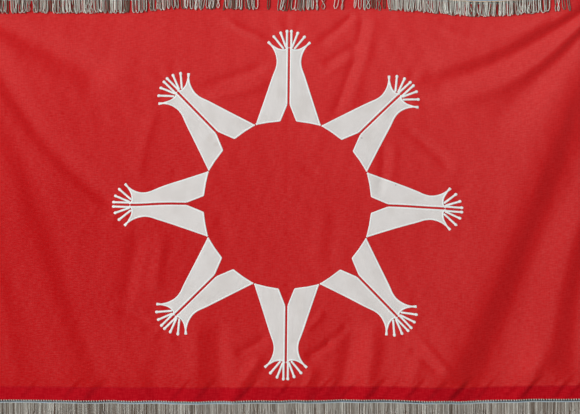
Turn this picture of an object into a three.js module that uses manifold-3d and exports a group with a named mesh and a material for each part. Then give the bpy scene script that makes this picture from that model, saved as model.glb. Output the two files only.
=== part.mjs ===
// A fringed ceremonial flag hanging by its top edge: a red cloth with turned hems, a ring of split
// rays sewn on round a plain disc, and a looped yarn fringe along the top and the bottom edge.
// Millimetres, +Z up. The front of the cloth faces -Y. The origin is the middle of the top edge.
import * as THREE from 'three';
import { mergeVertices } from 'three/addons/utils/BufferGeometryUtils.js';
import Module from 'manifold-3d';

const FLAG_WIDTH = 1829;
const HEADING_HEIGHT = 9;
const HEADING_OVERLAP = 6;
const CLOTH_TOP = -HEADING_HEIGHT;
const CLOTH_BOTTOM = -1219;
const HEM_HEIGHT = 42;
const SIDE_HEM_WIDTH = 25;
const HEM_STEP = 1.5;

const CLOTH_THICKNESS = 1.2;
const HEM_THICKNESS = 2.4;
const RAY_THICKNESS = 1;
const HEADING_THICKNESS = 1.5;
const FRINGE_THICKNESS = 3;
const PIECE_GAP = 0.3;

const RAY_COUNT = 8;
const EMBLEM_CENTRE_Z = -631;
const EMBLEM_TURN = THREE.MathUtils.degToRad(0.6);
const DISC_RADIUS = 252;
const RAY_FOOT_RADIUS = 257;
const RAY_TIP_RADIUS = 528;
const SLIT_HALF_WIDTH = 3.6;
const NOTCH_TOP_RADIUS = 302;
const NOTCH_HALF_WIDTH = 24;
const RAY_NEIGHBOUR_GAP = 3.6;

const FRINGE_LENGTH = 49;
const FRINGE_TUFTS = 36;
const TUFT_GAP = 5;
const FRINGE_ROOT = 10;
const SPARSE_SPOT_X = 138;
const SPARSE_SPOT_GAP = 20;

const COARSE_SPACING = 96;
const FINE_SPACING = 28;
const FINE_FROM_X = 430;
const ROW_SPACING = 70;

// The main folds: soft crests (rise above 0) and troughs (below 0) along bowed lines from [x, z] to [x, z].
// width is the half-width at each end, lean is how many times wider the flank to the right of travel is, and
// fade says how far along the line the fold swells in and dies away.
const FOLDS = [
  { from: [914, -16], to: [400, -226], bow: 10, width: [14, 26], lean: 2.5, rise: 8, fade: [0.1, 0.8] },
  { from: [914, -38], to: [382, -274], bow: 24, width: [14, 28], lean: 1, rise: -8, fade: [0.08, 0.8] },
  { from: [914, -60], to: [425, -310], bow: 54, width: [15, 32], lean: 1, rise: 9, fade: [0.08, 0.8] },
  { from: [914, -82], to: [540, -440], bow: 12, width: [22, 64], lean: 0.8, rise: -9, fade: [0.08, 0.5] },
  { from: [914, -125], to: [375, -1290], bow: 26, width: [62, 80], lean: 2.1, rise: 17.5, fade: [0.15, 0.95] },
  { from: [935, -185], to: [490, -1390], bow: 24, width: [96, 116], lean: 0.6, rise: -14, fade: [0.15, 1] },
  { from: [925, -540], to: [775, -1190], bow: -34, width: [30, 40], lean: 2, rise: 9, fade: [0.3, 0.85] },
  { from: [950, -640], to: [860, -1200], bow: -25, width: [40, 50], lean: 0.8, rise: -9, fade: [0.3, 0.8] },
  { from: [790, -1040], to: [650, -1290], bow: 0, width: [26, 26], lean: 1.4, rise: 10, fade: [0.3, 0.95] },
  { from: [-913, -58], to: [-510, -265], bow: 0, width: [26, 54], lean: 1, rise: -13, fade: [0.1, 0.8] },
  { from: [-913, -120], to: [-490, -650], bow: -52, width: [40, 36], lean: 0.6, rise: -7, fade: [0.1, 0.9] },
  { from: [-905, -330], to: [-600, -1290], bow: 14, width: [30, 50], lean: 1.5, rise: 4, fade: [0.2, 0.9] },
  { from: [-860, -330], to: [-535, -1290], bow: 14, width: [36, 60], lean: 1, rise: -4, fade: [0.2, 0.9] },
  { from: [-272, -960], to: [-272, -1330], bow: 0, width: [20, 26], lean: 2, rise: 5, fade: [0.2, 0.95] },
  { from: [-205, -960], to: [-205, -1330], bow: 0, width: [22, 28], lean: 1.3, rise: -5, fade: [0.2, 0.95] },
  { from: [268, -960], to: [215, -1330], bow: 0, width: [26, 30], lean: 1, rise: 8, fade: [0.3, 0.95] },
  { from: [205, -960], to: [140, -1330], bow: 0, width: [22, 26], lean: 1, rise: -6, fade: [0.3, 0.95] },
];

function smoothStep(edge0, edge1, value) {
  return THREE.MathUtils.smoothstep(value, edge0, edge1);
}

function bump(offset) {
  return Math.exp(-offset * offset);
}

function foldHeight(fold, x, z) {
  const runX = fold.to[0] - fold.from[0];
  const runZ = fold.to[1] - fold.from[1];
  const length = Math.hypot(runX, runZ);
  const offX = x - fold.from[0];
  const offZ = z - fold.from[1];
  const along = (offX * runX + offZ * runZ) / (length * length);
  const bowed = fold.bow * 4 * along * (1 - along);
  const across = (offZ * runX - offX * runZ) / length - bowed;
  const flank = across < 0 ? fold.lean : 1;
  const share = THREE.MathUtils.clamp(along, 0, 1);
  const width = flank * THREE.MathUtils.lerp(fold.width[0], fold.width[1], share);
  const swell = smoothStep(0, fold.fade[0], along) * (1 - smoothStep(fold.fade[1], 1, along));
  return fold.rise * swell * bump(across / width);
}

// How far the cloth stands towards the viewer at a point of its flat pattern.
function relief(x, z) {
  return FOLDS.reduce((sum, fold) => sum + foldHeight(fold, x, z), 0);
}

// The top edge sags between the points that hold it, and hangs lower along its left third.
function topSag(x) {
  const lowLeft = 1 - smoothStep(-460, -340, x);
  return -11 * lowLeft - 4 * bump((x - 10) / 90) - 22 * bump((x - 590) / 200);
}

function bottomLift(x) {
  return 2.6 * smoothStep(600, 740, x) - 4.3 * bump((x + 300) / 360) - 5 * bump((x - 540) / 110);
}

function hungZ(x, z) {
  const down = THREE.MathUtils.clamp((CLOTH_TOP - z) / (CLOTH_TOP - CLOTH_BOTTOM), 0, 1);
  return z + topSag(x) * (1 - down) + bottomLift(x) * down;
}

function evenSteps(start, end, spacing) {
  const count = Math.max(1, Math.round(Math.abs(end - start) / spacing));
  return Array.from({ length: count }, (_, i) => THREE.MathUtils.lerp(start, end, i / count));
}

const side = FLAG_WIDTH / 2;
const hemX = side - SIDE_HEM_WIDTH;
const columns = [
  -side,
  -hemX,
  ...evenSteps(-hemX + HEM_STEP, FINE_FROM_X, COARSE_SPACING),
  ...evenSteps(FINE_FROM_X, hemX - HEM_STEP, FINE_SPACING),
  hemX - HEM_STEP,
  hemX,
  side,
];

const fringeEnd = -FRINGE_LENGTH;
const topHemZ = CLOTH_TOP - HEM_HEIGHT;
const bottomHemZ = CLOTH_BOTTOM + HEM_HEIGHT;
const clothRows = [
  CLOTH_TOP,
  CLOTH_TOP - HEADING_OVERLAP,
  fringeEnd,
  topHemZ,
  ...evenSteps(topHemZ - HEM_STEP, bottomHemZ + HEM_STEP, ROW_SPACING),
  bottomHemZ + HEM_STEP,
  bottomHemZ,
  CLOTH_BOTTOM + HEADING_OVERLAP,
  CLOTH_BOTTOM,
];

// A closed sheet over the columns and rows of the cloth. front and back give its two faces, measured
// backwards from the middle of the cloth.
function sheet(rows, front, back) {
  const positions = [];
  for (const face of [front, back]) {
    for (const z of rows) {
      for (const x of columns) {
        positions.push(x, face(x, z) - relief(x, z), hungZ(x, z));
      }
    }
  }
  const across = columns.length;
  const backStart = across * rows.length;
  const index = [];
  for (let j = 0; j < rows.length - 1; j += 1) {
    for (let i = 0; i < across - 1; i += 1) {
      const a = j * across + i;
      const c = a + across;
      index.push(a, c, a + 1, c, c + 1, a + 1);
      index.push(backStart + a, backStart + a + 1, backStart + c);
      index.push(backStart + c, backStart + a + 1, backStart + c + 1);
    }
  }
  const rim = (p, q) => index.push(q, p, backStart + p, q, backStart + p, backStart + q);
  for (let j = 0; j < rows.length - 1; j += 1) {
    rim(j * across, (j + 1) * across);
    rim((j + 2) * across - 1, (j + 1) * across - 1);
  }
  for (let i = 0; i < across - 1; i += 1) {
    rim(backStart - across + i, backStart - across + i + 1);
    rim(i + 1, i);
  }
  const geometry = new THREE.BufferGeometry();
  geometry.setAttribute('position', new THREE.Float32BufferAttribute(positions, 3));
  geometry.setIndex(index);
  return geometry;
}

const wasm = await Module();
wasm.setup();

function solidOf(geometry) {
  const bare = new THREE.BufferGeometry();
  bare.setAttribute('position', geometry.getAttribute('position'));
  bare.setIndex(geometry.getIndex());
  const merged = mergeVertices(bare, 1e-4);
  return new wasm.Manifold(new wasm.Mesh({
    numProp: 3,
    vertProperties: Float32Array.from(merged.getAttribute('position').array),
    triVerts: Uint32Array.from(merged.getIndex().array),
  }));
}

function geometryOf(solid) {
  const mesh = solid.getMesh();
  const geometry = new THREE.BufferGeometry();
  geometry.setAttribute('position', new THREE.Float32BufferAttribute(mesh.vertProperties, 3));
  geometry.setIndex(Array.from(mesh.triVerts));
  return geometry;
}

// A prism of an outline drawn in the plane of the flag, deep enough to pass through every fold.
function punch(outline) {
  const depth = 160;
  const geometry = new THREE.ExtrudeGeometry(outline, { depth, bevelEnabled: false, curveSegments: 5 });
  geometry.translate(0, 0, -depth / 2);
  return geometry.rotateX(Math.PI / 2);
}

const flag = new THREE.Group();

function add(name, geometry, material) {
  const mesh = new THREE.Mesh(geometry, material);
  mesh.name = name;
  flag.add(mesh);
}

// The red cloth, with its edges turned to the back and stitched down as hems.
const clothMaterial = new THREE.MeshStandardMaterial({ color: 0xbe2b2d, roughness: 0.85, metalness: 0 });

function inHem(x, z) {
  return Math.abs(x) >= hemX || z >= topHemZ || z <= bottomHemZ;
}

const clothFront = -CLOTH_THICKNESS / 2;
const hemBack = clothFront + HEM_THICKNESS;
const clothBack = (x, z) => (inHem(x, z) ? hemBack : -clothFront);
add('cloth', sheet(clothRows, () => clothFront, clothBack), clothMaterial);

// The rays round the disc. Each is a split lily of two mirrored leaves: a broad foot on the disc, a waist,
// and a flared tip that takes in the stamens. The leaves are cut from one layer on the cloth.
const rayMaterial = new THREE.MeshStandardMaterial({ color: 0xd4cec8, roughness: 0.6, metalness: 0 });
const rayBack = clothFront - PIECE_GAP;
const rayLayer = solidOf(sheet(clothRows, () => rayBack - RAY_THICKNESS, () => rayBack));

function leafOutline() {
  const halfAngle = Math.PI / RAY_COUNT - RAY_NEIGHBOUR_GAP / 2 / RAY_FOOT_RADIUS;
  const notchFoot = Math.sqrt(DISC_RADIUS ** 2 - NOTCH_HALF_WIDTH ** 2);
  const footX = RAY_FOOT_RADIUS * Math.sin(halfAngle);
  const footZ = RAY_FOOT_RADIUS * Math.cos(halfAngle);
  const outline = new THREE.Shape();
  outline.moveTo(SLIT_HALF_WIDTH, NOTCH_TOP_RADIUS);
  outline.lineTo(NOTCH_HALF_WIDTH, notchFoot);
  outline.lineTo(footX, footZ);
  outline.quadraticCurveTo(62, 345, 49, 384);
  outline.bezierCurveTo(38, 425, 22, 440, 44, 470);
  outline.bezierCurveTo(66, 486, 68, 504, 48, 512);
  outline.quadraticCurveTo(30, 530, 10, RAY_TIP_RADIUS);
  outline.lineTo(SLIT_HALF_WIDTH, 510);
  outline.closePath();
  return outline;
}

for (let ray = 0; ray < RAY_COUNT; ray += 1) {
  for (const [half, mirror] of [['left', -1], ['right', 1]]) {
    const prism = solidOf(punch(leafOutline()));
    const turned = prism
      .scale([mirror, 1, 1])
      .rotate([0, THREE.MathUtils.radToDeg(EMBLEM_TURN) + (360 / RAY_COUNT) * ray, 0])
      .translate([0, 0, EMBLEM_CENTRE_Z]);
    add(`ray_${ray + 1}_${half}`, geometryOf(rayLayer.intersect(turned)), rayMaterial);
  }
}

// The woven headings that carry the fringe, sewn behind the top and bottom hems.
const headingMaterial = new THREE.MeshStandardMaterial({ color: 0x83888a, roughness: 0.8, metalness: 0 });
const headingFront = hemBack + PIECE_GAP;
const headingBack = headingFront + HEADING_THICKNESS;
const headingEndZ = CLOTH_BOTTOM - HEADING_HEIGHT;
const topHeadingRows = [0, CLOTH_TOP, CLOTH_TOP - HEADING_OVERLAP];
const bottomHeadingRows = [CLOTH_BOTTOM + HEADING_OVERLAP, CLOTH_BOTTOM, headingEndZ];
add('top_heading', sheet(topHeadingRows, () => headingFront, () => headingBack), headingMaterial);
add('bottom_heading', sheet(bottomHeadingRows, () => headingFront, () => headingBack), headingMaterial);

// The fringe: a comb of yarn tufts with uneven ends along each heading.
const fringeMaterial = new THREE.MeshStandardMaterial({ color: 0x8c7f74, roughness: 0.8, metalness: 0 });

function combOutline(topZ, rootZ, endZ, sparseX) {
  const outline = new THREE.Shape();
  const pitch = FLAG_WIDTH / FRINGE_TUFTS;
  const margin = 60;
  outline.moveTo(side + margin, topZ);
  outline.lineTo(-side - margin, topZ);
  for (let tuft = 0; tuft < FRINGE_TUFTS; tuft += 1) {
    const left = -side + pitch * tuft;
    const right = left + pitch;
    const gapOf = (x) => (Math.abs(x - sparseX) < pitch / 2 ? SPARSE_SPOT_GAP : TUFT_GAP) / 2;
    const start = tuft === 0 ? left - margin : left + gapOf(left);
    const end = tuft === FRINGE_TUFTS - 1 ? right + margin : right - gapOf(right);
    const middle = (left + right) / 2;
    const shift = hungZ(middle, endZ) - endZ;
    const ragged = 3 + 3 * Math.sin(tuft * 2.4);
    outline.lineTo(start, rootZ + shift);
    outline.lineTo(start, endZ + shift + ragged + 2);
    outline.lineTo(middle, endZ + shift + ragged);
    outline.lineTo(end, endZ + shift + ragged + 2);
    outline.lineTo(end, rootZ + shift);
  }
  outline.closePath();
  return outline;
}

function comb(layer, outline) {
  return geometryOf(solidOf(layer).intersect(solidOf(punch(outline))));
}

// At the top the yarn stands up out of the heading, folds over it and falls down the front of the cloth.
const fallBack = clothFront - 2 * PIECE_GAP;
const fallFront = fallBack - FRINGE_THICKNESS;
const foldUnderside = PIECE_GAP;
const foldRows = [FRINGE_THICKNESS, foldUnderside + 0.05, foldUnderside];
const topFringeLayer = sheet(
  [...foldRows, CLOTH_TOP, CLOTH_TOP - HEADING_OVERLAP, fringeEnd],
  () => fallFront,
  (x, z) => (z > foldUnderside ? headingBack + 1 : fallBack),
);
const topOutline = combOutline(40, -FRINGE_ROOT, fringeEnd, SPARSE_SPOT_X);
add('top_fringe', comb(topFringeLayer, topOutline), fringeMaterial);

// At the bottom it hangs straight down.
const hangTop = headingEndZ - PIECE_GAP;
const hangEnd = headingEndZ - FRINGE_LENGTH;
const hangFront = headingFront - (FRINGE_THICKNESS - HEADING_THICKNESS) / 2;
const bottomFringeLayer = sheet([hangTop, hangEnd], () => hangFront, () => hangFront + FRINGE_THICKNESS);
const bottomOutline = combOutline(headingEndZ + 40, hangTop - FRINGE_ROOT, hangEnd, Infinity);
add('bottom_fringe', comb(bottomFringeLayer, bottomOutline), fringeMaterial);

export default flag;
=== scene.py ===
import math
import random

import bmesh
import bpy
import numpy as np
from mathutils import Matrix, Vector


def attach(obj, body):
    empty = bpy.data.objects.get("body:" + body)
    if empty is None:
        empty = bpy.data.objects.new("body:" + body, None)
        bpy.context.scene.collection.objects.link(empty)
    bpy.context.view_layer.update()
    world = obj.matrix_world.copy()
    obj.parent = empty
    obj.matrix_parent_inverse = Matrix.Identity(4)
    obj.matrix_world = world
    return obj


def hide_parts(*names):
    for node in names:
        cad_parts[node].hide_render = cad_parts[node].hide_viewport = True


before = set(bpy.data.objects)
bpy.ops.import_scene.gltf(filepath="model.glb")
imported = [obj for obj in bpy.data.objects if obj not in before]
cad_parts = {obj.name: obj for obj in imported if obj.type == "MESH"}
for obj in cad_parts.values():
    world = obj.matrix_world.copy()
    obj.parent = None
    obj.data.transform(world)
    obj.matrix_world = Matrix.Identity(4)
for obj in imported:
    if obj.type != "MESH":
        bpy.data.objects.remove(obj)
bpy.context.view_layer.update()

scene = bpy.context.scene

# Camera: square to the cloth and level with its middle, through a long lens. The flag fills the view, and
# its two side edges fall just outside.
LENS = 85
SENSOR = 36
VIEW_WIDTH = 1.74
VIEW_CENTRE = Vector((0.0075, 0, -0.640))

camera_data = bpy.data.cameras.new("camera")
camera_data.lens = LENS
camera_data.sensor_width = SENSOR
camera = bpy.data.objects.new("camera", camera_data)
camera.location = VIEW_CENTRE + Vector((0, -VIEW_WIDTH * LENS / SENSOR, 0))
camera.rotation_euler = (math.radians(90), 0, 0)
scene.collection.objects.link(camera)
scene.camera = camera

# The ground cloth: one width of red plain-weave cotton, 1829 x 1210 mm when finished. Its sides and its top
# and bottom are turned to the back and stitched down as hems. It hangs from its top edge, and long drag folds
# fan out from the right corner, weaker ones from the left.
CLOTH_WIDTH = 1.829
CLOTH_TOP = -0.009
CLOTH_BOTTOM = -1.219
HEM = 0.042
SIDE_HEM = 0.025
CLOTH_THICKNESS = 0.00045
HEM_LAYER_GAP = 0.0006
WEAVE_STEP = 0.0075
TURN = 0.0015
RAYS = 8
EMBLEM_Z = -0.631
EMBLEM_TURN = math.radians(0.6)
TIP_RADIUS = 0.500
SIDE = CLOTH_WIDTH / 2
BOTTOM_HEM_LINE = CLOTH_BOTTOM + HEM
TOP_HEM_LINE = CLOTH_TOP - HEM

# Soft crests (height above 0) and troughs (below 0), in millimetres, along bowed lines on the flat cloth:
# start, end, bow to the left of travel, half-width at each end, lean, height, and the shares of the line over
# which it swells in and dies away. lean is how many times wider the flank to the right of travel is.
MAIN_FOLDS = [
    ((914, -16), (400, -226), 10, (14, 26), 2.5, 8, (0.1, 0.8)),
    ((914, -38), (382, -274), 24, (14, 28), 1, -8, (0.08, 0.8)),
    ((914, -60), (425, -310), 54, (15, 32), 1, 9, (0.08, 0.8)),
    ((914, -82), (540, -440), 12, (22, 64), 0.8, -9, (0.08, 0.5)),
    ((914, -125), (375, -1290), 26, (62, 80), 2.1, 17.5, (0.15, 0.95)),
    ((935, -185), (490, -1390), 24, (96, 116), 0.6, -14, (0.15, 1)),
    ((925, -540), (775, -1190), -34, (30, 40), 2, 9, (0.3, 0.85)),
    ((950, -640), (860, -1200), -25, (40, 50), 0.8, -9, (0.3, 0.8)),
    ((790, -1040), (650, -1290), 0, (26, 26), 1.4, 10, (0.3, 0.95)),
    ((-913, -58), (-510, -265), 0, (26, 54), 1, -13, (0.1, 0.8)),
    ((-913, -120), (-490, -650), -52, (40, 36), 0.6, -7, (0.1, 0.9)),
    ((-905, -330), (-600, -1290), 14, (30, 50), 1.5, 4, (0.2, 0.9)),
    ((-860, -330), (-535, -1290), 14, (36, 60), 1, -4, (0.2, 0.9)),
    ((-272, -960), (-272, -1330), 0, (20, 26), 2, 5, (0.2, 0.95)),
    ((-205, -960), (-205, -1330), 0, (22, 28), 1.3, -5, (0.2, 0.95)),
    ((268, -960), (215, -1330), 0, (26, 30), 1, 8, (0.3, 0.95)),
    ((205, -960), (140, -1330), 0, (22, 26), 1, -6, (0.3, 0.95)),
]
CREASES = [
    ((430, -80), (800, -60), -45, (14, 14), 1, 3.4, (0.2, 0.8)),
    ((200, -58), (56, -165), 9, (10, 15), 1, -4.5, (0.1, 0.6)),
    ((228, -60), (136, -370), 12, (10, 12), 1, -2.7, (0.1, 0.9)),
    ((262, -60), (170, -370), 12, (13, 16), 1, 2.3, (0.1, 0.8)),
    ((-268, -277), (-34, -196), -9, (15, 15), 1, -5.2, (0.3, 0.7)),
    ((-268, -312), (-45, -262), -9, (15, 15), 1, 4.8, (0.3, 0.7)),
    ((-200, -67), (-44, -140), -9, (11, 11), 1, 4.6, (0.3, 0.7)),
    ((100, -215), (215, -150), 0, (11, 13), 1, -3.4, (0.2, 0.8)),
    ((110, -244), (225, -180), 0, (11, 13), 1, 2.6, (0.2, 0.8)),
    ((290, -440), (270, -620), 6, (13, 15), 1, -3.0, (0.2, 0.8)),
    ((320, -440), (303, -580), 6, (13, 15), 1, 1.6, (0.2, 0.8)),
    ((340, -395), (500, -530), 10, (14, 16), 1, -3.0, (0.2, 0.8)),
    ((-205, -620), (-175, -790), 0, (22, 22), 1, -2.0, (0.4, 0.6)),
    ((40, -515), (95, -537), 0, (12, 12), 1, -2.2, (0.3, 0.7)),
    ((-520, -930), (-400, -985), 0, (16, 16), 1, -3.6, (0.3, 0.7)),
    ((185, -985), (105, -1060), 6, (12, 12), 1, -3.5, (0.2, 0.8)),
    ((-382, -316), (-448, -560), -10, (16, 16), 1.5, 3.0, (0.3, 0.8)),
    ((-440, -690), (-490, -930), 0, (22, 22), 1, -4.6, (0.2, 0.8)),
    ((-372, -690), (-398, -900), 0, (20, 20), 1, 4.2, (0.3, 0.8)),
    ((-880, -800), (-800, -1200), 0, (22, 30), 1, 2.8, (0.2, 0.8)),
    ((-397, -1050), (-397, -1330), 0, (26, 26), 1, -3.6, (0.3, 0.95)),
    ((-72, -1078), (-180, -1225), 0, (16, 18), 1, 7.0, (0.2, 0.9)),
    ((80, -1105), (44, -1240), 0, (17, 17), 1, 6.0, (0.3, 0.9)),
    ((136, -1036), (50, -1092), 6, (11, 11), 1, -5.4, (0.2, 0.8)),
    ((110, -948), (46, -1012), 6, (11, 11), 1, 3.8, (0.2, 0.8)),
    ((-54, -1020), (-160, -1078), 6, (13, 13), 1, -4.6, (0.2, 0.8)),
    ((338, -973), (502, -1150), 0, (12, 12), 1, 3.4, (0.3, 0.8)),
    ((362, -1060), (462, -1140), 0, (11, 11), 1, -3.4, (0.2, 0.8)),
    ((405, -1060), (350, -1225), 0, (24, 24), 1, 4.2, (0.2, 0.9)),
    ((112, -620), (84, -835), 6, (26, 26), 1, 1.5, (0.4, 0.6)),
    ((142, -620), (116, -835), 6, (26, 26), 1, -1.7, (0.4, 0.6)),
    ((536, -560), (500, -610), 0, (14, 14), 1, -2.4, (0.2, 0.8)),
    ((-930, -629), (930, -627), 0, (7, 7), 1, -0.55, (0.02, 0.98)),
    ((2, -40), (2, -1240), 0, (7, 7), 1, -0.45, (0.02, 0.98)),
]

# Slanting puckers that the seam of the heading draws up in the bottom hem: place, half-width, height in mm.
# Over the last PUCKER_EASE metres, next to the heading, they flatten to PUCKER_LEFT of their height.
HEM_PUCKER_LEAN = 0.9
PUCKER_LEFT = 0.2
PUCKER_EASE = 0.015
HEM_PUCKERS = [
    (-0.785, 0.011, 4.0), (-0.658, 0.011, 4.8), (-0.592, 0.020, 6.6), (-0.334, 0.009, 6.2),
    (-0.262, 0.013, 5.6), (-0.133, 0.013, 7.0), (-0.022, 0.008, 4.8), (0.037, 0.010, 3.9),
    (0.088, 0.009, 4.6), (0.118, 0.008, 3.9), (0.175, 0.013, 8.3), (0.250, 0.015, 8.1),
    (0.298, 0.008, 4.6), (0.367, 0.010, 7.0), (0.436, 0.014, 5.9), (0.502, 0.015, 11.7),
    (0.583, 0.010, 5.2), (0.664, 0.012, 6.2), (0.712, 0.013, 9.3), (0.811, 0.012, 8.1),
    (0.856, 0.010, 7.5),
]
TIP_PUCKER_REACH = 0.052
TIP_PUCKER_WIDTH = 0.030


def smoothstep(start, end, value):
    share = np.clip((value - start) / (end - start), 0, 1)
    return share * share * (3 - 2 * share)


def bump_of(offset):
    return np.exp(-offset * offset)


def fold_height(fold, x, z):
    start, end, bow, widths, lean, height, fades = fold
    run_x, run_z = end[0] - start[0], end[1] - start[1]
    length = math.hypot(run_x, run_z)
    off_x, off_z = x * 1000 - start[0], z * 1000 - start[1]
    along = (off_x * run_x + off_z * run_z) / length ** 2
    across = (off_z * run_x - off_x * run_z) / length - bow * 4 * along * (1 - along)
    width = (widths[0] + (widths[1] - widths[0]) * np.clip(along, 0, 1)) * np.where(across < 0, lean, 1)
    swell = smoothstep(0, fades[0], along) * (1 - smoothstep(fades[1], 1, along))
    return height * swell * bump_of(across / width) / 1000


def waviness(x, z):
    """The slight unevenness of washed cotton: long swells, soft wrinkles that mostly run down the cloth, and
    puckers that lean across the bottom hem and draw in round the tip of each ray."""
    swells = 0.6 * np.sin(9 * x + 4 * z + 2 * np.sin(5 * z)) + 0.5 * np.sin(-7 * x + 11 * z + np.sin(8 * x))
    patchy = 0.6 + 0.4 * np.sin(7 * x - 5 * z + 2 * np.sin(6 * z))
    wrinkles = 0.34 * np.sin(74 * x + 13 * z + 3 * np.sin(9 * z + 5 * x)) * patchy
    crossed = np.sin(118 * x - 31 * z + 4 * np.sin(7 * z - 6 * x)) * np.sin(11 * x + 13 * z)
    wrinkles = wrinkles + 0.20 * crossed
    wrinkles = wrinkles + 0.16 * np.sin(41 * x + 92 * z + 3 * np.sin(12 * x)) * (1.2 - patchy)
    in_hem = smoothstep(BOTTOM_HEM_LINE + 0.040, BOTTOM_HEM_LINE - 0.010, z)
    puckers = 0.25 * in_hem * np.sin(231 * x - 90 * z + 3 * np.sin(17 * x))
    for place, half_width, height in HEM_PUCKERS:
        off = (x - place - HEM_PUCKER_LEAN * (z - BOTTOM_HEM_LINE + HEM / 2)) / half_width
        puckers = puckers - height * in_hem * off * bump_of(off)
    eased = smoothstep(CLOTH_BOTTOM, CLOTH_BOTTOM + PUCKER_EASE, z)
    puckers = puckers * (PUCKER_LEFT + (1 - PUCKER_LEFT) * eased)
    drawn_in = 0
    for ray in range(RAYS):
        turn = EMBLEM_TURN + ray * 2 * math.pi / RAYS
        off_x = x - TIP_RADIUS * math.sin(turn)
        off_z = z - EMBLEM_Z - TIP_RADIUS * math.cos(turn)
        reach = np.hypot(off_x, off_z)
        spokes = np.sin(7 * np.arctan2(off_x, off_z) + 2.3 * ray)
        drawn_in = drawn_in + 0.7 * bump_of((reach - TIP_PUCKER_REACH) / TIP_PUCKER_WIDTH) * spokes
    return (swells + wrinkles + puckers + drawn_in) / 1000


def relief(x, z):
    """How far the hanging cloth stands forward at each place of its flat pattern."""
    heights = waviness(x, z)
    for fold in MAIN_FOLDS + CREASES:
        heights = heights + fold_height(fold, x, z)
    return heights


def edge_shift(x, z):
    """The top edge sags between what holds it, and the bottom edge follows a little."""
    low_left = 1 - smoothstep(-0.460, -0.340, x)
    top = -0.011 * low_left - 0.004 * bump_of((x - 0.010) / 0.090) - 0.022 * bump_of((x - 0.590) / 0.200)
    bottom = 0.0026 * smoothstep(0.600, 0.740, x) - 0.0043 * bump_of((x + 0.300) / 0.360)
    bottom = bottom - 0.005 * bump_of((x - 0.540) / 0.110) + 0.0007 * np.sin(31 * x + 2 * np.sin(13 * x))
    down = np.clip((CLOTH_TOP - z) / (CLOTH_TOP - CLOTH_BOTTOM), 0, 1)
    return top * (1 - down) + bottom * down


def hang(mesh):
    """Lays a piece that was drawn on the flat pattern on to the hanging cloth. y is its depth behind it."""
    points = np.empty(len(mesh.vertices) * 3)
    mesh.vertices.foreach_get("co", points)
    points = points.reshape(-1, 3)
    x, depth, z = points.T.copy()
    on_cloth = np.clip(z, CLOTH_BOTTOM, CLOTH_TOP)
    points[:, 1] = depth - relief(x, on_cloth)
    points[:, 2] = z + edge_shift(x, z)
    mesh.vertices.foreach_set("co", points.ravel())
    mesh.update()


def add_piece(name, mesh, material):
    """A piece of the flag: hung with the cloth, smooth, in its material, and moving with the root body."""
    hang(mesh)
    mesh.shade_smooth()
    mesh.materials.append(material)
    piece = bpy.data.objects.new(name, mesh)
    scene.collection.objects.link(piece)
    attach(piece, "root")
    return piece


def mesh_from(name, shape):
    mesh = bpy.data.meshes.new(name)
    shape.to_mesh(mesh)
    shape.free()
    return mesh


def flat_pattern(shape):
    """Marks each place with where it lies on the flat piece, so that its weave follows it."""
    pattern = shape.loops.layers.uv.new("pattern")
    for face in shape.faces:
        for corner in face.loops:
            corner[pattern].uv = (corner.vert.co.x, corner.vert.co.z)


def cut_cloth():
    """The cut width of cloth, flat, with rows of weave at each line where it will be turned or stitched."""
    cloth = bmesh.new()
    width, height = CLOTH_WIDTH + 2 * SIDE_HEM, CLOTH_TOP - CLOTH_BOTTOM + 2 * HEM
    columns, rows = round(width / WEAVE_STEP), round(height / WEAVE_STEP)
    bmesh.ops.create_grid(cloth, x_segments=columns, y_segments=rows, size=0.5)
    bmesh.ops.scale(cloth, vec=(width, height, 1), verts=cloth.verts)
    bmesh.ops.rotate(cloth, matrix=Matrix.Rotation(math.radians(90), 3, "X"), verts=cloth.verts)
    bmesh.ops.translate(cloth, vec=(0, 0, (CLOTH_TOP + CLOTH_BOTTOM) / 2), verts=cloth.verts)
    across, up = Vector((1, 0, 0)), Vector((0, 0, 1))
    for edge, direction in ((-SIDE, across), (SIDE, across), (CLOTH_TOP, up), (CLOTH_BOTTOM, up)):
        for offset in (-TURN, 0, TURN):
            every = cloth.verts[:] + cloth.edges[:] + cloth.faces[:]
            on_line = direction * (edge + offset)
            bmesh.ops.bisect_plane(cloth, geom=every, plane_co=on_line, plane_no=direction)
    flat_pattern(cloth)
    return cloth


def turn_hems(cloth):
    """Turns the sides and then the top and bottom to the back, one layer behind another at the corners."""
    for vert in cloth.verts:
        x, _, z = vert.co
        past_side = max(abs(x) - SIDE, 0)
        x = math.copysign(abs(x) - 2 * past_side, x)
        side_depth = HEM_LAYER_GAP * min(past_side / TURN, 1)
        past_end = max(z - CLOTH_TOP, CLOTH_BOTTOM - z, 0)
        z = z - 2 * past_end if z > CLOTH_TOP else z + 2 * past_end
        layers = 1 + 2 * float(smoothstep(SIDE - SIDE_HEM - 0.008, SIDE - SIDE_HEM, abs(x)))
        turned_depth = layers * HEM_LAYER_GAP - side_depth
        share = min(past_end / TURN, 1)
        vert.co = (x, side_depth + (turned_depth - side_depth) * share, z)


def material_named(name):
    material = bpy.data.materials.new(name)
    material.use_nodes = True
    nodes = material.node_tree.nodes
    return material, nodes, material.node_tree.links, nodes["Principled BSDF"]


def maths(material, operation, first, second=0.0):
    """One sum on a pattern. first and second are numbers or sockets."""
    node = material.node_tree.nodes.new("ShaderNodeMath")
    node.operation = operation
    for socket, value in zip(node.inputs, (first, second)):
        if isinstance(value, bpy.types.NodeSocket):
            material.node_tree.links.new(value, socket)
        else:
            socket.default_value = value
    return node.outputs[0]


def ramp(material, value, low, high, out_low=0.0, out_high=1.0):
    node = material.node_tree.nodes.new("ShaderNodeMapRange")
    node.interpolation_type = "SMOOTHSTEP"
    material.node_tree.links.new(value, node.inputs["Value"])
    for name, number in zip(("From Min", "From Max", "To Min", "To Max"), (low, high, out_low, out_high)):
        node.inputs[name].default_value = number
    return node.outputs["Result"]


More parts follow.
